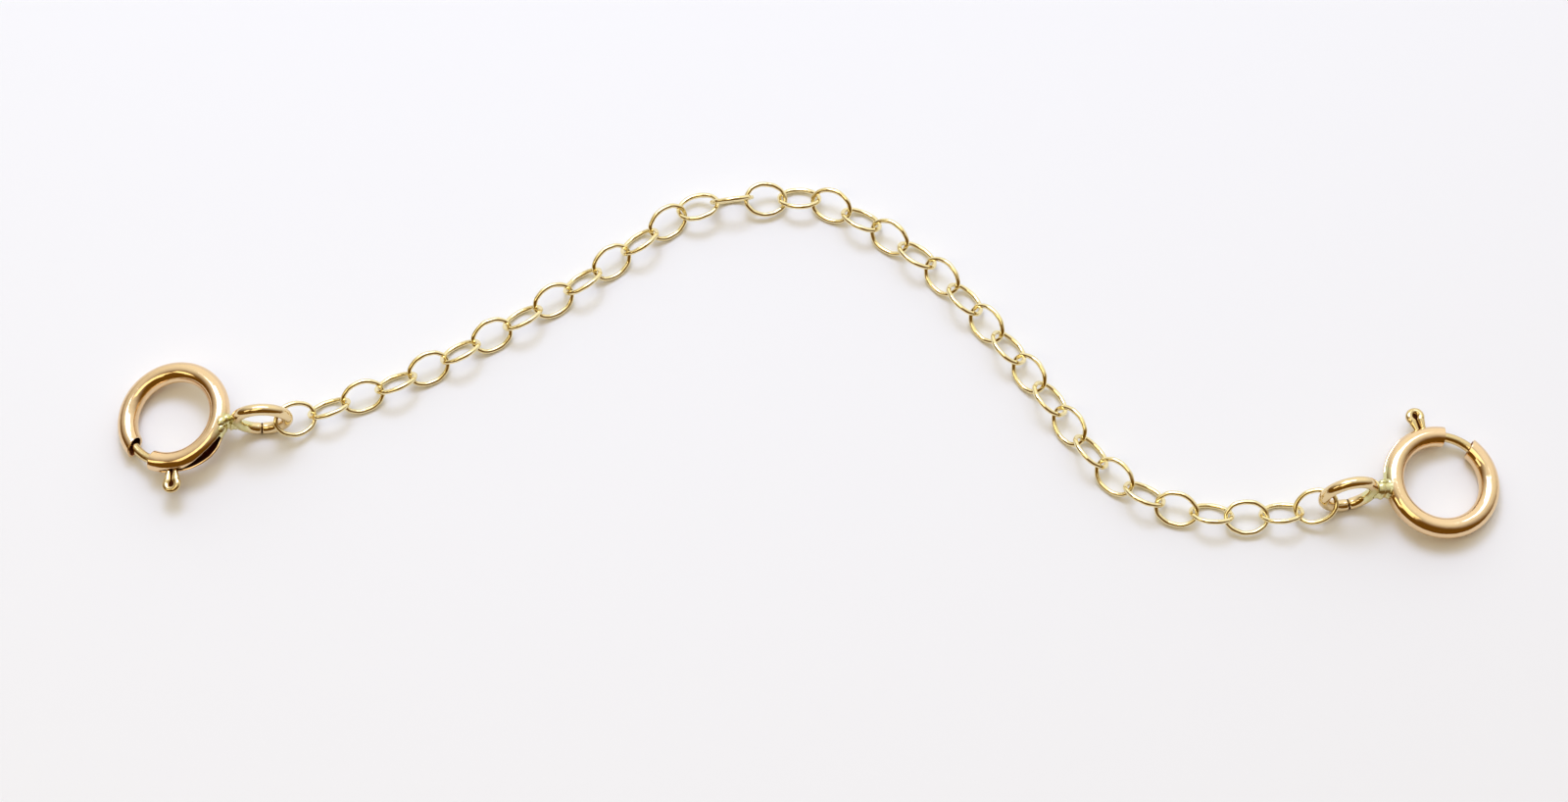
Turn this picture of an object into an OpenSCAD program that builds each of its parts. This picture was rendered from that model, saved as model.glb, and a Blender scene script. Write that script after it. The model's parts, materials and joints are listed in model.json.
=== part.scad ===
// Safety chain: a short run of oval links with a spring ring clasp at each end, laid on a table

/* [Chain links] */
// Length of a link over its wire
link_l = 2.13; // [2.05:0.01:2.20]
// Width of a link over its wire
link_w = 1.66; // [1.55:0.01:1.75]
// Diameter of a link's wire
link_wire = 0.20; // [0.18:0.01:0.22]
// Clear space between two wires where they hook
link_gap = 0.03; // [0.02:0.01:0.05]
// Height above the table at which an end link hangs in its clasp's loop
end_height = 1.1; // [1.05:0.05:1.3]

/* [Clasps] */
// Outer diameter of a clasp's ring
ring_d = 5.5; // [5.3:0.1:5.8]
// Diameter of the tube that the ring is bent from
tube_d = 0.96; // [0.92:0.02:1.00]
// Thickness of the tube's wall
tube_wall = 0.10; // [0.08:0.01:0.11]
// Diameter of the sliding tongue's wire
tongue_d = 0.40; // [0.36:0.01:0.41]
// Height of the slot that the trigger slides in
slot_h = 0.38; // [0.34:0.01:0.40]
// Diameter of the trigger's wire
trigger_wire = 0.30; // [0.26:0.01:0.31]
// Width of the trigger's eye over its wire
trigger_w = 0.92; // [0.84:0.01:0.96]
// How far the trigger stands out from the ring
trigger_reach = 1.05; // [0.95:0.01:1.10]

/* [Split loops] */
// Outer diameter of the split loop soldered to each ring
loop_d = 2.9; // [2.8:0.05:3.0]
// Diameter of its wire
loop_wire = 0.55; // [0.50:0.01:0.58]
// Clear space between the loop's wire and the link that hooks into it
loop_gap = 0.1; // [0.08:0.01:0.12]
// Width of its split
split_w = 0.06; // [0.04:0.01:0.08]

/* [Hidden] */
$fn = 48;
case_colour = "#E2B183";
gold_colour = "#D8B25A";

link_count = 36;
link_stations = 16;
wire_sides = 6;
pitch = link_l - 2 * link_wire - link_gap;
link_a = (link_l - link_wire) / 2;
link_b = (link_w - link_wire) / 2;

// How the chain lies, stretch by stretch from the left clasp. Columns: links in the stretch, heading of
// its first link, turn from link to link, roll of odd links, roll of even links (degrees), slack of each
// link, and how far a link of positive roll slips sideways towards its low side (mm)
stretches = [
    [1, 22, 0, 30, -45, 0.05, 0.03],
    [3, 21, 1.5, 45, -45, 0.03, 0.03],
    [5, 29, 1, 45, -45, 0.01, 0.03],
    [4, 37, 0.5, 45, -45, 0.01, 0.03],
    [1, 16, 0, 45, -20, 0.05, 0],
    [1, 8, 0, -68, -30, 0.03, 0],
    [1, 4, 0, 45, 22, 0.06, 0.08],
    [1, -3, 0, -32, 20, 0.07, 0],
    [1, -26, 0, -40, 40, 0.07, 0],
    [1, -30, 0, -38, 45, 0.07, 0],
    [2, -37, 0, -38, 45, 0.08, 0.03],
    [7, -48, -1.5, -38, 45, 0.10, 0.03],
    [1, -51, 0, -45, 45, 0.08, 0],
    [1, -43, 0, -45, 40, 0.08, 0.08],
    [1, -27, 0, -42, 45, 0.08, 0],
    [1, -18, 0, -40, 30, 0.08, 0.10],
    [3, -5.5, 6, -40, 20, 0.07, 0.10],
    [1, 12, 0, -40, 20, 0.07, 0],
];
COUNT = 0;
HEADING = 1;
TURN = 2;
ODD_ROLL = 3;
EVEN_ROLL = 4;
SLACK = 5;
SLIP = 6;
// Where the first link hooks into the left loop, seen from above
chain_start = [-24.63, -3.45];

// How each clasp lies. Columns: heading from the ring to the chain, turn of the loop against that
// heading, lean of the ring towards its loop, roll of the loop about its length, heading from the
// loop's middle to its link, turn of the loop's split from its lowest place towards the ring
// (degrees), length of the solder between ring and loop (mm), and the places round the ring of the
// gap's two ends and of the trigger, in degrees from the loop, anticlockwise seen from above
clasps = [
    [-8, 12, 12, 2, -4, 20, 0.05, 224, 255.5, 281],
    [191, -1, 6, 6, 198, 13, 0.40, 218.5, 252.5, 276.5],
];
LEFT = 0;
RIGHT = 1;
CLASP_HEADING = 0;
LOOP_TURN = 1;
LEAN = 2;
LOOP_ROLL = 3;
LINK_HEADING = 4;
SPLIT_TURN = 5;
SOLDER = 6;
GAP_FROM = 7;
GAP_TO = 8;
TRIGGER_AT = 9;

// Ends of the slot and of the tongue, at the same places on both rings
slot_from = 268;
slot_to = 341;
tongue_from = 212;
tongue_to = 302;

tube_r = tube_d / 2;
bore_r = tube_r - tube_wall;
ring_r = (ring_d - tube_d) / 2;
loop_r = (loop_d - loop_wire) / 2;

// Radii of the solder at the ring and at the loop, radius of its bead, and the bead's place along it
solder_ring_r = 0.43;
solder_loop_r = 0.26;
bead_r = 0.36;
bead_place = 0.66;

// Degrees by which the bore's cut runs past the tube's open ends
bore_overrun = 4;

// The slot's lower edge is bent outwards between the trigger and the loop: from where to where
// (degrees), how far, how thick, how far inside its rim its root and its upper edge lie, how far below
// the ring's middle plane it begins, and how much of its top the slot cuts off
lip_from = 290;
lip_to = 340;
lip_reach = 0.14;
lip_t = 0.09;
lip_root = 0.26;
lip_bevel = 0.10;
lip_low = 0.42;
lip_over = 0.05;

// Eye and stems of the trigger. The stems are a little thinner than the eye's wire and end inside it.
eye_r = (trigger_w - trigger_wire) / 2;
eye_at = ring_d / 2 + trigger_reach - trigger_w / 2;
stem_d = trigger_wire - 0.02;
stem_space = stem_d + 0.03;
stem_sink = 0.045;

function two_digits(i) = i < 10 ? str("0", i) : str(i);
function link_name(i) = str("link_", two_digits(i));

// Row of the stretch table that holds link i, and the link's place in that stretch
function stretch_of(i, row = 0, before = 0) =
    i <= before + stretches[row][COUNT]
        ? [stretches[row], i - before - 1]
        : stretch_of(i, row + 1, before + stretches[row][COUNT]);
function heading(i) = let (s = stretch_of(i)) s[0][HEADING] + s[0][TURN] * s[1];
function roll(i) = stretch_of(i)[0][i % 2 == 1 ? ODD_ROLL : EVEN_ROLL];
function slack(i) = stretch_of(i)[0][SLACK];
function slip(i) = roll(i) > 0 ? stretch_of(i)[0][SLIP] : 0;

// Height of a rolled link's hooks when its lower side lies on the table
function rest_height(i) = link_wire / 2 + (link_b + slip(i)) * abs(sin(roll(i)));
// Height of the hook between link i and the next one
function hook_height(i) =
    i == 0 || i == link_count ? end_height : max(rest_height(i), rest_height(i + 1));
// A link that climbs covers less of the table
function run(i) = sqrt(pow(pitch - slack(i), 2) - pow(hook_height(i) - hook_height(i - 1), 2));
hooks_flat = [
    for (p = chain_start, i = 0; i <= link_count;
         p = i < link_count ? p + run(i + 1) * [cos(heading(i + 1)), sin(heading(i + 1))] : p,
         i = i + 1) p
];
hooks = [for (i = [0 : link_count]) [hooks_flat[i].x, hooks_flat[i].y, hook_height(i)]];

function unit(v) = v / norm(v);

// Direction of a link's width: level at a roll of 0, straight up at 90
function width_dir(along, turn) =
    let (level = unit(cross([0, 0, 1], along)))
    cos(turn) * level + sin(turn) * cross(along, level);

// Wire of polygonal section bent round an ellipse whose half lengths are link_a and link_b
function link_points(middle, along, across) = [
    for (s = [0 : link_stations - 1])
        let (
            u = 360 * s / link_stations,
            centre = middle + link_a * cos(u) * along + link_b * sin(u) * across,
            tangent = unit(link_b * cos(u) * across - link_a * sin(u) * along),
            normal = cross(along, across),
            out = cross(tangent, normal)
        )
        for (k = [0 : wire_sides - 1])
            let (v = 360 * k / wire_sides)
            centre + link_wire / 2 * (cos(v) * out + sin(v) * normal)
];
link_faces = [
    for (s = [0 : link_stations - 1], k = [0 : wire_sides - 1])
        let (
            next_s = (s + 1) % link_stations,
            next_k = (k + 1) % wire_sides,
            a = s * wire_sides + k,
            b = s * wire_sides + next_k,
            c = next_s * wire_sides + next_k,
            d = next_s * wire_sides + k
        )
        each [[a, b, c], [a, c, d]]
];

function along(i) = unit(hooks[i] - hooks[i - 1]);
function across(i) = width_dir(along(i), roll(i));
function link_middle(i) = (hooks[i - 1] + hooks[i]) / 2 - slip(i) * across(i);

module link(i) {
    color(gold_colour)
        polyhedron(link_points(link_middle(i), along(i), across(i)), link_faces);
}

// Middle of a clasp's loop, and how far the loop sits below the ring's own plane
function loop_axis_rise(c) =
    cos(c[LOOP_ROLL]) * sin(c[LOOP_TURN]) * sin(c[LEAN]) - sin(c[LOOP_ROLL]) * cos(c[LEAN]);
function loop_height(c) = loop_wire / 2 + loop_r * sqrt(1 - pow(loop_axis_rise(c), 2));
function loop_reach(c) = c[SOLDER] + loop_d / 2;
function ring_height(c) = tube_r + ring_r * sin(c[LEAN]);
function loop_drop(c) =
    (ring_height(c) - loop_height(c)) / cos(c[LEAN])
    + (ring_d / 2 + loop_reach(c) * cos(c[LOOP_TURN])) * tan(c[LEAN]);
function loop_local(c) = [
    ring_d / 2 + loop_reach(c) * cos(c[LOOP_TURN]),
    loop_reach(c) * sin(c[LOOP_TURN]),
    -loop_drop(c)
];

// The end link hooks round the loop's wire from inside
hook_inset = (loop_wire - link_gap) / 2 + loop_gap;
function hook_to_loop(c) =
    sqrt(pow(loop_r - hook_inset, 2) - pow(end_height - loop_height(c), 2));
function loop_middle(c, hook) =
    let (way = hook_to_loop(c) * [cos(c[LINK_HEADING]), sin(c[LINK_HEADING])])
    [hook.x - way.x, hook.y - way.y, loop_height(c)];

// Axes of a ring: x towards its loop, z out of its upper face
function ring_x(c) = [
    cos(c[LEAN]) * cos(c[CLASP_HEADING]), cos(c[LEAN]) * sin(c[CLASP_HEADING]), sin(c[LEAN])
];
function ring_y(c) = [-sin(c[CLASP_HEADING]), cos(c[CLASP_HEADING]), 0];
function ring_z(c) = cross(ring_x(c), ring_y(c));
function ring_middle(c, hook) =
    let (p = loop_local(c))
    loop_middle(c, hook) - p.x * ring_x(c) - p.y * ring_y(c) - p.z * ring_z(c);

module at_clasp(side) {
    c = clasps[side];
    x = ring_x(c);
    y = ring_y(c);
    z = ring_z(c);
    m = ring_middle(c, hooks[side == LEFT ? 0 : link_count]);
    multmatrix([
        [x.x, y.x, z.x, m.x],
        [x.y, y.y, z.y, m.y],
        [x.z, y.z, z.z, m.z]
    ])
        children();
}

// Round wire bent along part of a circle
module bent_wire(bend_r, wire_r, from = 0, to = 360) {
    rotate_extrude(start = from, angle = to - from)
        translate([bend_r, 0])
            circle(wire_r);
}

module at_loop(c) {
    translate(loop_local(c))
        rotate([90 + c[LOOP_ROLL], 0, c[LOOP_TURN]])
            children();
}

// Solder from the tube to the near side of the loop: a cone between their middles, with a bead on it
module solder(c) {
    from = [ring_r, 0, 0];
    near_side = [-loop_r * cos(c[LOOP_TURN]), -loop_r * sin(c[LOOP_TURN]), 0];
    reach = loop_local(c) + near_side - from;
    translate(from)
        rotate([0, acos(reach.z / norm(reach)), atan2(reach.y, reach.x)]) {
            cylinder(h = norm(reach), r1 = solder_ring_r, r2 = solder_loop_r);
            translate([0, 0, norm(reach) * bead_place])
                sphere(bead_r);
        }
}

// Lower edge of the slot, bent outwards most at its middle. Its bend is about a middle moved out
// from the ring's own, so that both ends run out in the tube's wall.
module slot_lip() {
    half = (lip_to - lip_from) / 2;
    offset = lip_reach / (1 - cos(half));
    bend = ring_r + tube_r - offset * cos(half);
    sweep = atan2((ring_r + tube_r) * sin(half), (ring_r + tube_r) * cos(half) - offset);
    rotate([0, 0, lip_from + half])
        translate([offset, 0, 0])
            rotate_extrude(start = -sweep, angle = 2 * sweep)
                polygon([
                    [bend - lip_root, -lip_low],
                    [bend, -slot_h / 2 - lip_t],
                    [bend, -slot_h / 2 + lip_over],
                    [bend - lip_bevel, -slot_h / 2 - lip_t]
                ]);
}

module case(side) {
    c = clasps[side];
    color(case_colour)
        at_clasp(side)
            difference() {
                union() {
                    bent_wire(ring_r, tube_r, c[GAP_TO], c[GAP_FROM] + 360);
                    slot_lip();
                    solder(c);
                    at_loop(c)
                        bent_wire(loop_r, loop_wire / 2);
                }
                bent_wire(ring_r, bore_r, c[GAP_TO] - bore_overrun, c[GAP_FROM] + 360 + bore_overrun);
                rotate_extrude(start = slot_from, angle = slot_to - slot_from)
                    translate([ring_r, -slot_h / 2])
                        square([tube_d, slot_h]);
                at_loop(c)
                    rotate([0, 0, -c[SPLIT_TURN]])
                        translate([0, -loop_r, 0])
                            cube([split_w, 2 * loop_wire, 2 * loop_wire], center = true);
            }
}

// Sliding tongue with the trigger that is soldered to it
module tongue(side) {
    color(gold_colour)
        at_clasp(side) {
            bent_wire(ring_r, tongue_d / 2, tongue_from, tongue_to);
            rotate([0, 0, clasps[side][TRIGGER_AT]]) {
                translate([eye_at, 0, 0])
                    bent_wire(eye_r, trigger_wire / 2);
                for (way = [-1, 1])
                    translate([ring_r, way * stem_space / 2, 0])
                        rotate([0, 90, 0])
                            cylinder(h = eye_at - ring_r - eye_r + stem_sink, d = stem_d);
            }
        }
}

module left_case() { case(LEFT); }
module left_tongue() { tongue(LEFT); }
module right_case() { case(RIGHT); }
module right_tongue() { tongue(RIGHT); }

left_case();
left_tongue();
right_case();
right_tongue();
for (i = [1 : link_count])
    link(i);
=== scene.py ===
import json
import math

import bmesh
import bpy
import numpy as np
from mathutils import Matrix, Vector


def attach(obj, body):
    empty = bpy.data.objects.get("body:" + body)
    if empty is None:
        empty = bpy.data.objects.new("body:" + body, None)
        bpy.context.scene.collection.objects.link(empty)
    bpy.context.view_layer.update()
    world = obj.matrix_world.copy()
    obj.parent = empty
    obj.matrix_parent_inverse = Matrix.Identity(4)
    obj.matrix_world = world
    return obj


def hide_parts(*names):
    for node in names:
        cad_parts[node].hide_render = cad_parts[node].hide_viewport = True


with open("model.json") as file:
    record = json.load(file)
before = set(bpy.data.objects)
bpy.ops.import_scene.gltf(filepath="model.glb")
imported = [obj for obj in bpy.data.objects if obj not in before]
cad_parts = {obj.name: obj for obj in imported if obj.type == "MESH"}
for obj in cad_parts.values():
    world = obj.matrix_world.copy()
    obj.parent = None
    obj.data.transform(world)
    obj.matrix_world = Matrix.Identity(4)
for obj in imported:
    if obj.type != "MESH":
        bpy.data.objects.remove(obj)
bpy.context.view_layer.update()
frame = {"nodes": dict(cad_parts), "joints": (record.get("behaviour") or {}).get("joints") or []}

# Sizes in millimetres, angles in degrees. Angles round a ring run anticlockwise from its loop. A name
# with STATIONS counts the sections along a wire, and a count named ROUND the points of each section.
MM = 0.001
UP = np.array([0, 0, 1])

# Links: the solid link's length, width and wire, then the wire's thickness at the hooks and the flanks
LINK_COUNT = 36
LINK_LENGTH = 2.13
LINK_WIDTH = 1.66
LINK_WIRE = 0.20
HOOK_WIRE = 0.208
FLANK_WIRE = 0.235
LINK_STATIONS = 64
LINK_ROUND = 16
# How far a link's thickness and plane wander, and by what share its oval does. Each is a sum of these
# numbers of waves round the link, each wave between this least share and 1 of its part of the height.
LINK_DENT = 0.013
LINK_BEND = 0.036
LINK_WAVES = np.array([2, 3, 5, 8, 11])
LEAST_WAVE = 0.3

# Ring of a clasp, the tube that it is bent from, and the bevel of its rims, which takes every edge that
# turns by more than an angle
RING_D = 5.5
TUBE_D = 0.96
TUBE_WALL = 0.10
TUBE_R = TUBE_D / 2
RING_R = (RING_D - TUBE_D) / 2
RIM_BEVEL = 0.018
RIM_ANGLE = 45
# Stations before, beside and after the slot, and points round the tube's wall and across the slot
BEFORE_SLOT = 15
BESIDE_SLOT = 100
AFTER_SLOT = 210
WALL_POINTS = 64
SLOT_POINTS = 8
# Over how many degrees the tube's end comes to be aslant, the depth at which the lip's bend has faded,
# and an allowance for rounding at the lip's edge
SLANT_OVER = 25
LIP_FADE = 0.30
ROUNDING = 1e-6

# The slot along the ring: place, height of its upper and of its lower edge above the ring's middle
# plane, and how far its lower edge is bent outwards
SLOT = np.array([
    [268, 0.12, -0.12, 0],
    [275, 0.20, -0.17, 0],
    [287, 0.20, -0.17, 0],
    [292, 0.09, -0.05, 0.04],
    [300, 0.145, -0.08, 0.095],
    [310, 0.235, -0.15, 0.115],
    [320, 0.275, -0.19, 0.143],
    [332, 0.26, -0.19, 0.10],
    [341, 0.20, -0.15, 0],
])
PLACE, UPPER, LOWER, REACH = range(4)
# Greatest height of the upper edge on a slot that doesn't gape at all
NARROW_UPPER = 0.15

# Tongue: its wire, its height above the bore's middle, and its hidden end
TONGUE_D = 0.45
TONGUE_RISE = 0.03
TONGUE_TO = 302
TONGUE_STATIONS = 90
TONGUE_ROUND = 24
# Domes that round the tongue's ends: reach, the degrees of the ring that one covers, its sections, and
# the angle of the last one, which a flat face closes
DOME = 0.12
DOME_TURN = 3
DOME_STEPS = 6
DOME_TOP = 88

# Trigger: how far its tip is from the ring's middle, its wire at the tip, beside the eye and in the
# stems, the eye's radius, how far the stems stand to the sides, and how flat the wire is
TRIGGER_TIP = 3.81
TIP_WIRE = 0.31
EYE_WIRE = 0.36
STEM_WIRE = 0.22
EYE_R = 0.275
STEM_SPREAD = 0.16
TRIGGER_FLAT = 0.85
TRIGGER_ROUND = 20
# The eye's arc on each side of its tip, and how many times faster the path narrows to the stems than it
# nears the tongue
EYE_SWEEP = 130
EYE_STATIONS = 49
STEM_STATIONS = 25
STEM_SOONER = 1.5
# Dark sheet of painted shade in the trigger's slit: depth below the wire's middle, thickness, and points
# from side to side
SLIT_DEPTH = 0.02
SLIT_SHEET = 0.05
SLIT_POINTS = 5

# Split loop: its width, its wire, the share of its thickness that the wire has in the two sections at
# each end, the split's width, and the thickness of the dark filler of painted shade in the split, as a
# share of the wire's
LOOP_D = 2.9
LOOP_WIRE = 0.55
LOOP_R = (LOOP_D - LOOP_WIRE) / 2
LOOP_STATIONS = 120
LOOP_ROUND = 32
LOOP_ENDS = np.array([0.90, 0.97])
SPLIT_WIDTH = 0.07
SPLIT_SHADE = 0.90

# Solder's neck: its radius, what the flares at ring and loop add, the height, place and width of its
# bead, how deep in the tube's wall it starts, and the small share of its size that it starts with
NECK_R = 0.31
RING_FLARE = 0.10
LOOP_FLARE = 0.02
NECK_BEAD = 0.07
NECK_BEAD_AT = 0.66
NECK_BEAD_WIDTH = 0.12
NECK_DEPTH = 0.04
NECK_START = 0.02
NECK_STATIONS = 26
START_STATIONS = 5
NECK_ROUND = 32
# Lumps round the neck. Columns: number of waves, turn of the first (degrees), height as a share
NECK_LUMPS = np.array([
    [3, 40, 0.07],
    [5, 100, 0.05],
])

# How each clasp is put together. As in the solid model: turn of the loop in the ring's plane, roll about
# its own length, turn of its split from the lowest place, length of the solder, the gap's two ends, and
# the trigger's place. Finer than there: how far round the ring the tube's end at the gap is cut aslant,
# the place of the tongue's end, how far the slot gapes as a share of the left one's, and the place round
# which solder stains the tube.
CLASPS = {
    "left": {
        "loop_turn": 12, "loop_roll": 2, "split_turn": 20, "solder": 0.05,
        "gap_from": 224, "gap_to": 255.5, "slant": 5.7, "tongue_from": 222, "trigger_at": 281,
        "gape": 1.0, "stain_at": -9,
    },
    "right": {
        "loop_turn": -1, "loop_roll": 6, "split_turn": 13, "solder": 0.40,
        "gap_from": 218.5, "gap_to": 252.5, "slant": 2.0, "tongue_from": 215, "trigger_at": 276.5,
        "gape": 0.35, "stain_at": -14,
    },
}
# The stain's spread along the ring and round its tube, its height on the tube, and its spread on a loop
STAIN_ALONG = 17
STAIN_ROUND = 45
STAIN_HEIGHT = 15
LOOP_STAIN = 38

# Beads of solder on each clasp's tube. Columns: place round the ring and round the tube (degrees), how
# far it stands out, and radius
BEADS = {
    "left": [[-4, 38, 0.08, 0.28], [-10, 14, 0.09, 0.30], [1, 4, 0.18, 0.30]],
    "right": [[2, 32, 0.09, 0.25], [-7, 8, 0.34, 0.19], [-5, 22, 0.08, 0.30], [2, 2, 0.22, 0.30]],
}
BEAD_SUNK = 0.03
BEAD_ROUND = 24
BEAD_STATIONS = 15
# Angle from a bead's top, and from its foot, at which its surface starts, and the wave of its rim: height
# as a share, and turn from bead to bead
BEAD_TOP = 2
BEAD_WAVE = 0.10
BEAD_WAVE_TURN = 50


def unit(v):
    """Vectors of length 1 along the last axis."""
    v = np.asarray(v, float)
    return v / np.linalg.norm(v, axis=-1, keepdims=True)


def turned(degrees):
    """Cosine and sine of angles in degrees."""
    a = np.radians(degrees)
    return np.cos(a), np.sin(a)


def smooth(x):
    """0 below 0, 1 above 1, and 3x^2 - 2x^3 between."""
    x = np.clip(x, 0, 1)
    return x * x * (3 - 2 * x)


def apart(angles, place):
    """How many degrees angles are past a place, from -180 to 180."""
    return (angles - place + 180) % 360 - 180


def arc(radius, from_deg, to_deg, count):
    """Points along an arc about the origin in the plane z = 0."""
    c, s = turned(np.linspace(from_deg, to_deg, count))
    return np.stack([radius * c, radius * s, 0 * c], axis=-1)


def wire(path, normal, radius, sides, closed=False, flat=1.0):
    """Grid of points round a path in the plane that has this normal: each station is a circle of the
    given radius across the path, from the outer side towards the normal, flattened along the normal."""
    if closed:
        tangent = unit(np.roll(path, -1, axis=0) - np.roll(path, 1, axis=0))
    else:
        tangent = unit(np.gradient(path, axis=0))
    out = np.cross(tangent, normal)
    c, s = turned(np.arange(sides) * 360 / sides)
    ring = c[:, None] * out[:, None, :] + flat * s[:, None] * np.asarray(normal)
    return path[:, None, :] + np.broadcast_to(radius, len(path))[:, None, None] * ring


def rounded_ends(path, radius, reach):
    """Adds stations to both ends of a wire's path, so that a dome of the given reach closes each end:
    the radius falls as the cosine of an angle while the place moves on by reach times its sine."""
    c, s = turned(np.linspace(0, DOME_TOP, DOME_STEPS + 1)[1:])
    first = path[0] - unit(path[1] - path[0]) * reach * s[::-1, None]
    last = path[-1] + unit(path[-1] - path[-2]) * reach * s[:, None]
    radius = np.broadcast_to(radius, len(path))
    sizes = np.concatenate([radius[0] * c[::-1], radius, radius[-1] * c])
    return np.concatenate([first, path, last]), sizes


def grid_mesh(name, points, wrap=(False, True), keep=None, caps=False, stain=None):
    """Object of quads over a grid of points in millimetres; wrap closes the grid along rows or columns,
    keep says which quads stay, caps closes the first and last row with one face each, and stain is kept
    with the points as the attribute solder, from 0 to 1."""
    rows, columns = points.shape[:2]
    index = np.arange(rows * columns).reshape(rows, columns)
    if wrap[0]:
        index = np.vstack([index, index[:1]])
    if wrap[1]:
        index = np.hstack([index, index[:, :1]])
    quads = np.stack([index[:-1, :-1], index[1:, :-1], index[1:, 1:], index[:-1, 1:]], axis=-1)
    quads = quads.reshape(-1, 4) if keep is None else quads[keep]
    faces = quads.tolist()
    if caps:
        faces += [index[0, :-1][::-1].tolist(), index[-1, :-1].tolist()]
    mesh = bpy.data.meshes.new(name)
    mesh.from_pydata((points.reshape(-1, 3) * MM).tolist(), [], faces)
    if stain is not None:
        kept = mesh.attributes.new("solder", "FLOAT", "POINT")
        kept.data.foreach_set("value", np.broadcast_to(stain, (rows, columns)).ravel())
    build = bmesh.new()
    build.from_mesh(mesh)
    bmesh.ops.delete(build, geom=[v for v in build.verts if not v.link_faces], context="VERTS")
    bmesh.ops.recalc_face_normals(build, faces=build.faces)
    build.to_mesh(mesh)
    build.free()
    mesh.shade_smooth()
    piece = bpy.data.objects.new(name, mesh)
    bpy.context.scene.collection.objects.link(piece)
    return piece


def finish_piece(piece, body, slot, materials, *nodes):
    """Rides a body, takes its materials, and stands for the CAD nodes named. The slot is not used."""
    for material in materials:
        piece.data.materials.append(material)
    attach(piece, body)
    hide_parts(*nodes)


class Ring:
    """Place and axes of a clasp's ring, from the hinge that its tongue turns on: x towards its loop and
    z out of its upper face. The loop's middle is in these axes too."""

    def __init__(self, side):
        joint = next(j for j in frame["joints"] if j["name"] == side + "_tongue_slide")
        self.side = side
        self.row = CLASPS[side]
        self.middle = np.array(joint["pos_m"]) / MM
        self.z = unit(joint["axis"])
        self.y = unit(np.cross(self.z, UP))
        self.x = np.cross(self.y, self.z)
        self.turn = math.radians(self.row["loop_turn"])
        self.roll = math.radians(self.row["loop_roll"])
        self.loop = self.find_loop()

    def find_loop(self):
        """The loop stands on the table, so the slope of its own axis gives the height of its middle, and
        that gives how far it drops below the plane of the leaning ring."""
        lean = math.asin(self.x[2])
        slope = math.cos(self.roll) * math.sin(self.turn) * math.sin(lean)
        slope -= math.sin(self.roll) * math.cos(lean)
        height = LOOP_WIRE / 2 + LOOP_R * math.sqrt(1 - slope * slope)
        reach = self.row["solder"] + LOOP_D / 2
        out = RING_D / 2 + reach * math.cos(self.turn)
        drop = (self.middle[2] - height) / math.cos(lean) + out * math.tan(lean)
        return np.array([out, reach * math.sin(self.turn), -drop])

    def place(self, points):
        """From the ring's own axes to the frame."""
        return self.middle + points @ np.array([self.x, self.y, self.z])

    def place_loop(self, points):
        """From the loop's own plane to the frame: rolled, stood on edge, turned and moved out."""
        c, s = math.cos(math.pi / 2 + self.roll), math.sin(math.pi / 2 + self.roll)
        stand = np.array([[1, 0, 0], [0, c, -s], [0, s, c]])
        c, s = math.cos(self.turn), math.sin(self.turn)
        turn = np.array([[c, -s, 0], [s, c, 0], [0, 0, 1]])
        return self.place(points @ (turn @ stand).T + self.loop)


def link_axes(node):
    """Middle, length and width directions of a link, in millimetres, from its CAD node's vertices:
    the two directions along which they spread most."""
    points = np.empty(len(node.data.vertices) * 3)
    node.data.vertices.foreach_get("co", points)
    points = points.reshape(-1, 3) / MM
    middle = points.mean(axis=0)
    _, _, axes = np.linalg.svd(points - middle, full_matrices=False)
    return middle, axes[0], axes[1]


def make_link(name, seed):
    """A wire bent round an ellipse, a little slimmer at the ends, where the links hook into each other.
    Its path and its thickness wander by a few waves of small height, so that no two links catch the
    light alike."""
    middle, along, across = link_axes(frame["nodes"][name])
    rng = np.random.default_rng(seed)
    turn = np.arange(LINK_STATIONS) * 360 / LINK_STATIONS

    def wander(height):
        """Sum of cosine waves round the link, each with a random start and share of the height."""
        phase = rng.uniform(0, 360, len(LINK_WAVES))
        share = rng.uniform(LEAST_WAVE, 1, len(LINK_WAVES)) / len(LINK_WAVES)
        return height * (share * turned(LINK_WAVES * turn[:, None] + phase)[0]).sum(axis=1)

    c, s = turned(turn)
    swell = 1 + wander(LINK_BEND)
    out_along = (LINK_LENGTH - LINK_WIRE) / 2 * c * swell
    out_across = (LINK_WIDTH - LINK_WIRE) / 2 * s * swell
    normal = np.cross(along, across)
    path = middle + out_along[:, None] * along + out_across[:, None] * across
    path = path + wander(LINK_DENT)[:, None] * normal
    radius = (HOOK_WIRE + (FLANK_WIRE - HOOK_WIRE) * s * s) / 2 + wander(LINK_DENT)
    piece = grid_mesh("wire_" + name, wire(path, normal, radius, LINK_ROUND, closed=True), (True, True))
    finish_piece(piece, "root", "wire_gold", [wire_gold], name)


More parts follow.
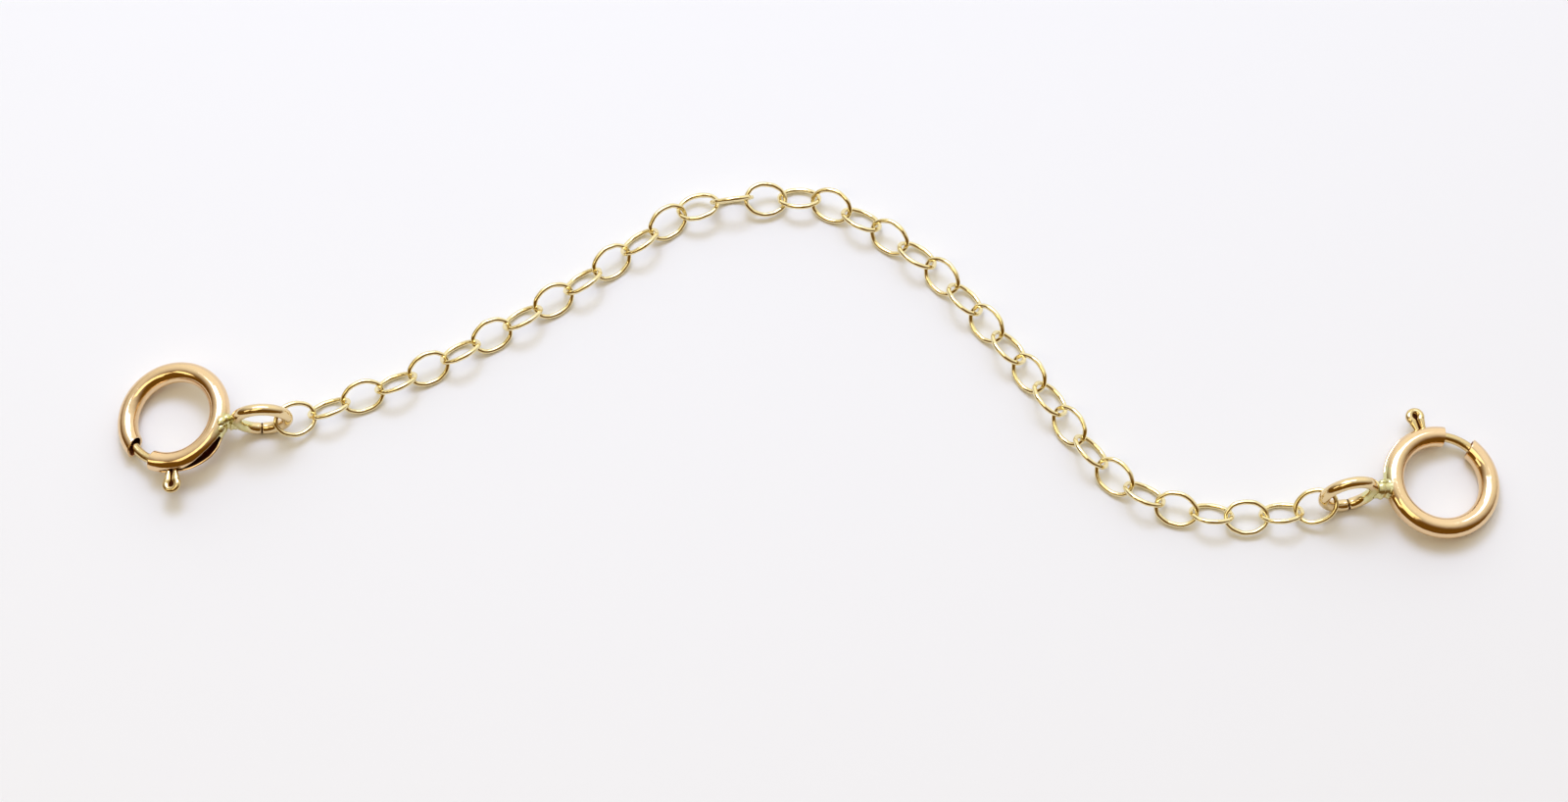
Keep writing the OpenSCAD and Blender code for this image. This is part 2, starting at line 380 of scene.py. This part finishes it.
def make_tube(ring):
    """The tube of the ring: a circle swept round a circle, open at the gap, where one end is cut aslant.
    Each section runs from the slot's upper edge over the top to its lower edge and back across the slot,
    whose faces are left out. Below it the tube is pushed outwards, less and less with depth. Solidify
    gives the wall, whose inner side takes a dark colour that is painted shade. The solder's stain falls
    off as a bell curve both ways."""
    row = ring.row
    end = row["gap_from"] + 360
    places = np.concatenate([
        np.linspace(row["gap_to"], SLOT[0, PLACE], BEFORE_SLOT),
        np.linspace(SLOT[0, PLACE], SLOT[-1, PLACE], BESIDE_SLOT)[1:],
        np.linspace(SLOT[-1, PLACE], end, AFTER_SLOT)[1:],
    ])[:, None]
    upper, lower, reach = (np.interp(places, SLOT[:, PLACE], SLOT[:, k]) for k in (UPPER, LOWER, REACH))
    upper = np.minimum(upper, upper * row["gape"] + NARROW_UPPER * (1 - row["gape"]))
    reach = reach * row["gape"]
    top = np.degrees(np.arcsin(upper / TUBE_R))
    bottom = np.degrees(np.arcsin(lower / TUBE_R))
    on_wall = top + np.arange(WALL_POINTS) / WALL_POINTS * (360 + bottom - top)
    over_slot = bottom + np.arange(SLOT_POINTS) / SLOT_POINTS * (top - bottom)
    heights = np.hstack([on_wall, over_slot])
    cv, sv = turned(heights)
    depth = lower - TUBE_R * sv
    bend = reach * (cv > 0) * (depth >= -ROUNDING) * smooth(1 - depth / LIP_FADE)
    out = RING_R + TUBE_R * cv + bend
    aslant = row["slant"] * smooth((places - end + SLANT_OVER) / SLANT_OVER)
    cu, su = turned(places + aslant * cv)
    points = np.stack([out * cu, out * su, TUBE_R * sv], axis=-1)
    keep = np.ones((len(places) - 1, WALL_POINTS + SLOT_POINTS), bool)
    keep[BEFORE_SLOT - 1:BEFORE_SLOT + BESIDE_SLOT - 2, WALL_POINTS:] = False
    along = apart(places, row["stain_at"]) / STAIN_ALONG
    round_tube = apart(heights, STAIN_HEIGHT) / STAIN_ROUND
    stain = np.exp(-(along**2) - round_tube**2)
    piece = grid_mesh(ring.side + "_tube", ring.place(points), (False, True), keep, stain=stain)
    wall = piece.modifiers.new("wall", "SOLIDIFY")
    wall.thickness = TUBE_WALL * MM
    wall.offset = -1
    wall.use_even_offset = True
    # The wall's inner side takes the second material, whose dark colour is painted shade inside the tube
    wall.material_offset = 1
    rims = piece.modifiers.new("rims", "BEVEL")
    rims.width = RIM_BEVEL * MM
    rims.segments = 2
    rims.limit_method = "ANGLE"
    rims.angle_limit = math.radians(RIM_ANGLE)
    finish_piece(piece, "root", "case_gold", [case_gold, bore_painted_shade], ring.side + "_case")


def make_loop(ring):
    """The split loop: an open circle of wire whose two ends face each other across the split, with
    a dark filler of painted shade between them. Solder stains it where it meets the ring."""
    case = ring.side + "_case"
    half = math.degrees(math.asin(SPLIT_WIDTH / 2 / LOOP_R))
    start = -90 - ring.row["split_turn"] + half
    end = start + 360 - 2 * half
    sizes = np.full(LOOP_STATIONS, LOOP_WIRE / 2)
    sizes[:2] *= LOOP_ENDS
    sizes[-2:] *= LOOP_ENDS[::-1]
    points = wire(arc(LOOP_R, start, end, LOOP_STATIONS), UP, sizes, LOOP_ROUND)
    place = np.linspace(start, end, LOOP_STATIONS)[:, None]
    stain = np.exp(-((apart(place, 180) / LOOP_STAIN) ** 2))
    loop = grid_mesh(ring.side + "_loop", ring.place_loop(points), caps=True, stain=stain)
    finish_piece(loop, "root", "case_gold", [loop_gold], case)
    # A short dark wire across the split paints the shade in the gap between the ends
    across = arc(LOOP_R, start - 2 * half, start, 2)
    points = wire(across, UP, SPLIT_SHADE * LOOP_WIRE / 2, LOOP_ROUND)
    split_shade = grid_mesh(ring.side + "_split", ring.place_loop(points), caps=True)
    finish_piece(split_shade, "root", "case_gold", [painted_shade_dark], case)


def make_solder(ring):
    """Solder between the tube and the loop: a neck whose ends flare where they wet the metal, the ring's
    as the fourth power of the way that is left. A bell curve of a bead sits on it, and waves run round
    it. It starts in the tube's wall, so its first stations follow the tube's round section."""
    near_loop = ring.loop - LOOP_R * np.array([math.cos(ring.turn), math.sin(ring.turn), 0])
    start = np.array([RING_R, 0, 0])
    way = near_loop - start
    t = np.concatenate([np.zeros(START_STATIONS), np.linspace(0, 1, NECK_STATIONS)[1:]])
    growth = np.linspace(NECK_START, 1, START_STATIONS + 1)[:-1]
    growth = np.concatenate([growth, np.ones(NECK_STATIONS - 1)])
    neck = NECK_R + RING_FLARE * (1 - t) ** 4 + LOOP_FLARE * t
    bead = NECK_BEAD * np.exp(-(((t - NECK_BEAD_AT) / NECK_BEAD_WIDTH) ** 2))
    radius = (neck + bead) * growth
    a = np.arange(NECK_ROUND) * 360 / NECK_ROUND
    waves, first, height = NECK_LUMPS.T
    lumps = 1 + (height * turned(waves * a[:, None] + first)[0]).sum(axis=1)
    c, s = turned(a)
    y = radius[:, None] * c * lumps
    z = radius[:, None] * s * lumps
    wall_x = np.sqrt(np.maximum((TUBE_R - NECK_DEPTH) ** 2 - z**2, 0))
    x = wall_x * (1 - t[:, None]) ** 2 + np.linalg.norm(way) * t[:, None]
    x_dir = unit(way)
    y_dir = unit(np.cross(UP, x_dir))
    z_dir = np.cross(x_dir, y_dir)
    points = start + x[..., None] * x_dir + y[..., None] * y_dir + z[..., None] * z_dir
    piece = grid_mesh(ring.side + "_solder", ring.place(points), caps=True)
    finish_piece(piece, "root", "case_gold", [solder_gold], ring.side + "_case")


def make_bead(ring, number, place, height, rise, radius):
    """A bead of solder wetted onto the tube: half a ball laid round the tube's surface and stretched to
    its height, on a flat foot sunk into the wall, with a rim that wanders by a wave."""
    a = np.arange(BEAD_ROUND) * 360 / BEAD_ROUND
    b = np.linspace(BEAD_TOP, 180 - BEAD_TOP, BEAD_STATIONS)[:, None]
    ca, sa = turned(a)
    cb, sb = turned(b)
    spread = radius * sb * (1 + BEAD_WAVE * turned(2 * a + BEAD_WAVE_TURN * number)[0])
    cu, su = turned(place + np.degrees(spread * ca / (RING_R + TUBE_R)))
    cv, sv = turned(height + np.degrees(spread * sa / TUBE_R))
    out = TUBE_R - BEAD_SUNK + np.where(cb > 0, rise + BEAD_SUNK, BEAD_SUNK) * cb
    points = np.stack([(RING_R + out * cv) * cu, (RING_R + out * cv) * su, out * sv], axis=-1)
    piece = grid_mesh(f"{ring.side}_bead_{number}", ring.place(points), caps=True)
    finish_piece(piece, "root", "case_gold", [solder_gold], ring.side + "_case")


def make_tongue(ring):
    """The sliding tongue: a bent wire with domed ends, a little above the middle of the bore."""
    path = arc(RING_R, ring.row["tongue_from"] + DOME_TURN, TONGUE_TO - DOME_TURN, TONGUE_STATIONS)
    path, sizes = rounded_ends(path + TONGUE_RISE * UP, TONGUE_D / 2, DOME)
    points = wire(path, UP, sizes, TONGUE_ROUND)
    name = ring.side + "_tongue"
    piece = grid_mesh(name + "_wire", ring.place(points), caps=True)
    finish_piece(piece, name, "wire_gold", [spring_gold_and_shade], name)


def make_trigger(ring):
    """The trigger: one flattened wire bent like a drop with a narrow slit, out along one stem, round the
    eye and back. The half width of its path goes from the eye's to the stems' as a smooth step, and so
    does the wire's thickness, which is a little less again at the tip. A dark sheet of painted shade from
    side to side closes the slit just below the wire's middle."""
    body = ring.side + "_tongue"
    eye_at = TRIGGER_TIP - TIP_WIRE / 2 - EYE_R
    turn = np.linspace(-EYE_SWEEP, EYE_SWEEP, EYE_STATIONS)
    c, s = turned(turn)
    eye = np.stack([eye_at + EYE_R * c, EYE_R * s], axis=-1)
    eye_wire = TIP_WIRE + (EYE_WIRE - TIP_WIRE) * smooth(np.abs(turn) / 90)
    t = np.linspace(0, 1, STEM_STATIONS + 1)[1:]
    fall = smooth(t * STEM_SOONER)
    from_x, from_y = eye[-1]
    stem = np.stack([from_x + (RING_R - from_x) * t, from_y + (STEM_SPREAD - from_y) * fall], axis=-1)
    stem_wire = EYE_WIRE + (STEM_WIRE - EYE_WIRE) * fall
    flat = np.concatenate([(stem * [1, -1])[::-1], eye, stem])
    path = np.concatenate([flat, np.full((len(flat), 1), TONGUE_RISE)], axis=1)
    sizes = np.concatenate([stem_wire[::-1], eye_wire, stem_wire]) / 2
    points = wire(path, UP, sizes, TRIGGER_ROUND, flat=TRIGGER_FLAT)
    c, s = turned(ring.row["trigger_at"])
    to_place = np.array([[c, s, 0], [-s, c, 0], [0, 0, 1]])
    trigger = grid_mesh(ring.side + "_trigger", ring.place(points @ to_place), caps=True)
    finish_piece(trigger, body, "wire_gold", [spring_gold_and_shade], body)
    # The slit's sheet is painted shade: a dark sheet where there is only shade between the wires
    one_side = path[STEM_STATIONS + EYE_STATIONS // 2 + 1:] - SLIT_DEPTH * UP
    span = np.linspace(1, -1, SLIT_POINTS)
    points = one_side[:, None, :] * np.stack([span**0, span, span**0], axis=-1)
    slit = grid_mesh(ring.side + "_slit", ring.place(points @ to_place), (False, False))
    sheet = slit.modifiers.new("sheet", "SOLIDIFY")
    sheet.thickness = SLIT_SHEET * MM
    sheet.offset = 0
    finish_piece(slit, body, "wire_gold", [painted_shade_dark], body)


def colour(text):
    """Linear colour of an sRGB value written as six hex digits."""
    srgb = np.array([int(text[i:i + 2], 16) for i in (0, 2, 4)]) / 255
    linear = np.where(srgb <= 0.04045, srgb / 12.92, ((srgb + 0.055) / 1.055) ** 2.4)
    return (*linear.tolist(), 1.0)


def add(tree, kind, inputs, **settings):
    """A node with its settings; each input is given a value or linked to another node's output."""
    made = tree.nodes.new(kind)
    for name, value in settings.items():
        setattr(made, name, value)
    for name, value in inputs.items():
        if isinstance(value, bpy.types.NodeSocket):
            tree.links.new(value, made.inputs[name])
        else:
            made.inputs[name].default_value = value
    return made


def mixed(tree, share, first, second):
    """Output of a node that goes from one colour to the other with share."""
    return add(tree, "ShaderNodeMix", {0: share, 6: first, 7: second}, data_type="RGBA").outputs[2]


def per_mm(length):
    """Noise scale, in cells per metre, that gives cells of this length in millimetres."""
    return 1 / (length * MM)


def new_tree(name):
    """A new material, its node tree and its shader."""
    material = bpy.data.materials.new(name)
    material.use_nodes = True
    return material, material.node_tree, material.node_tree.nodes["Principled BSDF"]


# Patterns on the metals: width of the patches of colour, of the marks of wear and of the dents, the
# part of the wear's noise that is used, and where the solder's film begins and is full
PATCH = 1.6
WEAR = 0.25
DENT = 0.45
WEAR_RANGE = (0.3, 0.7)
FILM_RANGE = (0.75, 1.15)


def metal(name, main, deep, rough_from, rough_to, dent, stained=None):
    """Polished metal: two close colours in patches, roughness that varies with handling, and low dents by
    bump. Where the attribute solder is above 0 it takes the stained colour, in patches with a ragged
    edge."""
    material, tree, shader = new_tree(name)
    place = add(tree, "ShaderNodeTexCoord", {}).outputs["Object"]

    def noise(width, detail):
        """Noise of this width in millimetres, from 0 to 1."""
        inputs = {"Vector": place, "Scale": per_mm(width), "Detail": detail}
        return add(tree, "ShaderNodeTexNoise", inputs).outputs["Fac"]

    def ramp(value, span, low, high):
        """From low to high while the value crosses the span."""
        inputs = {"Value": value, "From Min": span[0], "From Max": span[1], "To Min": low, "To Max": high}
        return add(tree, "ShaderNodeMapRange", inputs).outputs["Result"]

    tint = mixed(tree, noise(PATCH, 3.0), colour(main), colour(deep))
    wear = noise(WEAR, 5.0)
    if stained:
        solder = add(tree, "ShaderNodeAttribute", {}, attribute_name="solder").outputs["Fac"]
        ragged = add(tree, "ShaderNodeMath", {0: wear, 1: solder}, operation="ADD").outputs[0]
        tint = mixed(tree, ramp(ragged, FILM_RANGE, 0.0, 1.0), tint, colour(stained))
    low = add(tree, "ShaderNodeBump", {"Height": noise(DENT, 2.0), "Distance": dent * MM, "Strength": 1.0})
    tree.links.new(tint, shader.inputs["Base Color"])
    tree.links.new(ramp(wear, WEAR_RANGE, rough_from, rough_to), shader.inputs["Roughness"])
    tree.links.new(low.outputs["Normal"], shader.inputs["Normal"])
    shader.inputs["Metallic"].default_value = 1.0
    return material


# Rose gold filled tube, drawn and tumbled: gives the rings their peach colour and soft bright strips
case_gold = metal("rose gold filled tube, tumbled", "EFCFA8", "EACC98", 0.07, 0.14, 0.008, "E2DCA4")
# The tube's inner side, never polished, in a dark brown that is painted shade: gives the slot and the open
# ends their warm dark depth
bore_painted_shade = metal("tube wall inside, unpolished, painted shade", "B87040", "92542C", 0.40, 0.55, 0.004)
# A dark, matt colour that is painted shade: gives the loops' splits and the triggers' slits a dark line
painted_shade_dark = metal("dark fill of painted shade, matt", "4A2410", "351608", 0.55, 0.70, 0.004)
# Yellow gold filled wire, drawn: gives the links a yellower colour and sharper sparks
wire_gold = metal("yellow gold filled wire, drawn", "F7E9BA", "F0DEA4", 0.06, 0.12, 0.016)
# The same wire in the loops, rosier, with a pale green film where the solder ran
loop_gold = metal("yellow gold filled wire, soldered", "EFD8AA", "E9CF9C", 0.08, 0.15, 0.010, "E2DCA4")
# Spring wire of tongue and trigger, bent by hand: gives them a deeper yellow, partly their own colour and
# partly painted shade, and a dented skin
spring_gold_and_shade = metal("yellow gold spring wire, bent, darkened for shade", "E4CE9C", "D6BC84", 0.09, 0.16, 0.016)
# Hard solder, left as it flowed: gives the necks a greenish pale yellow and a lumpy skin
solder_gold = metal("hard solder, as flowed", "E4DEAC", "D6CC92", 0.20, 0.32, 0.014)

for number in range(1, LINK_COUNT + 1):
    make_link(f"link_{number:02d}", number)
for side in CLASPS:
    ring = Ring(side)
    make_tube(ring)
    make_loop(ring)
    make_solder(ring)
    for number, bead in enumerate(BEADS[side], 1):
        make_bead(ring, number, *bead)
    make_tongue(ring)
    make_trigger(ring)

# Table's side, and width, depth and strength of the card's fibres
TABLE = 1500
FIBRE = 0.3
FIBRE_DEPTH = 0.002
FIBRE_STRENGTH = 0.5


def make_table():
    """A square of white card, matt: gives a pale neutral ground with a faint tooth, for the shadows to
    fall on."""
    white_card, tree, shader = new_tree("white card, matt")
    shader.inputs["Base Color"].default_value = colour("F8F8F6")
    shader.inputs["Roughness"].default_value = 0.7
    place = add(tree, "ShaderNodeTexCoord", {}).outputs["Object"]
    inputs = {"Vector": place, "Scale": per_mm(FIBRE), "Detail": 4.0}
    fibres = add(tree, "ShaderNodeTexNoise", inputs).outputs["Fac"]
    inputs = {"Height": fibres, "Distance": FIBRE_DEPTH * MM, "Strength": FIBRE_STRENGTH}
    skin = add(tree, "ShaderNodeBump", inputs).outputs["Normal"]
    tree.links.new(skin, shader.inputs["Normal"])
    side = np.array([-TABLE / 2, TABLE / 2])
    x, y = np.meshgrid(side, side, indexing="ij")
    table = grid_mesh("table", np.stack([x, y, 0 * x], axis=-1), (False, False))
    table.data.materials.append(white_card)


make_table()

# Camera, worked out from the photograph: 21.7 pixels to a millimetre at the rings, seen from 69 degrees
# up, and aimed at this point
LOOK = np.array([-1.03, -2.14, 0.5])
PHOTO_WIDTH = 1600
PIXELS_PER_MM = 21.7
ELEVATION = 69
FOCAL = 72
SENSOR = 36


def make_camera():
    """A long lens at the distance at which the photograph's width covers what it does at the rings."""
    distance = PHOTO_WIDTH * FOCAL / SENSOR / PIXELS_PER_MM
    c, s = turned(ELEVATION)
    lens = bpy.data.cameras.new("camera")
    lens.lens = FOCAL
    lens.sensor_width = SENSOR
    lens.clip_start = 0.01
    lens.clip_end = 10
    camera = bpy.data.objects.new("camera", lens)
    camera.location = Vector((LOOK + distance * np.array([0, -c, s])) * MM)
    camera.rotation_euler = (math.radians(90 - ELEVATION), 0, 0)
    bpy.context.scene.collection.objects.link(camera)
    bpy.context.scene.camera = camera


make_camera()

# Lights: direction, distance in metres, degrees that each is wide and deep seen from the object, its
# radiance, and its tint. The two cards throw warm light back from in front.
LIGHTS = {
    "softbox": {
        "toward": (-0.04, 0.49, 0.87), "away": 0.34, "wide": 50, "deep": 21,
        "radiance": 3.0, "tint": "C6D6FF",
    },
    "key": {
        "toward": (-0.10, 0.54, 0.84), "away": 0.19, "wide": 20, "deep": 20,
        "radiance": 8, "tint": "C6D6FF",
    },
    "card": {
        "toward": (-0.22, -0.22, 0.95), "away": 0.60, "wide": 22, "deep": 40,
        "radiance": 1.5, "tint": "FFF3C8",
    },
    "side_card": {
        "toward": (-0.71, -0.24, 0.66), "away": 0.60, "wide": 14, "deep": 20,
        "radiance": 1.8, "tint": "FFF3C8",
    },
}


def make_light(name, toward, away, wide, deep, radiance, tint):
    """A soft light that faces the object, a disk where it is as deep as it is wide. Its power is its
    radiance times pi times its area."""
    is_disk = wide == deep
    light = bpy.data.lights.new(name, "AREA")
    light.shape = "DISK" if is_disk else "RECTANGLE"
    light.size = 2 * away * math.tan(math.radians(wide / 2))
    light.size_y = 2 * away * math.tan(math.radians(deep / 2))
    area = light.size * light.size_y * (math.pi / 4 if is_disk else 1)
    light.energy = radiance * math.pi * area
    light.color = colour(tint)[:3]
    made = bpy.data.objects.new(name, light)
    made.location = Vector(unit(toward) * away)
    made.rotation_euler = Vector(unit(toward)).to_track_quat("Z", "Y").to_euler()
    bpy.context.scene.collection.objects.link(made)


for name, light in LIGHTS.items():
    make_light(name, **light)

# Room: the direction that is pale, where the smooth step from dark to pale starts and ends, and the
# room's brightness
PALE_SIDE = (0.2, 0.9, 0.5)
PALE_RANGE = (-0.02, 0.98)
ROOM_STRENGTH = 1.27


def make_room():
    """A room that is pale behind the object and dark brown before it, which the polished metal shows as
    dark bands."""
    world = bpy.data.worlds.new("room")
    world.use_nodes = True
    bpy.context.scene.world = world
    tree = world.node_tree
    direction = add(tree, "ShaderNodeTexCoord", {}).outputs["Generated"]
    toward_pale = add(tree, "ShaderNodeVectorMath", {0: direction, 1: PALE_SIDE}, operation="DOT_PRODUCT")
    inputs = {"Value": toward_pale.outputs["Value"], "From Min": PALE_RANGE[0], "From Max": PALE_RANGE[1]}
    pale = add(tree, "ShaderNodeMapRange", inputs, interpolation_type="SMOOTHSTEP").outputs["Result"]
    backdrop = tree.nodes["Background"]
    tree.links.new(mixed(tree, pale, colour("644614"), colour("F2F2EE")), backdrop.inputs["Color"])
    backdrop.inputs["Strength"].default_value = ROOM_STRENGTH


make_room()

bpy.context.scene.view_settings.view_transform = "Standard"
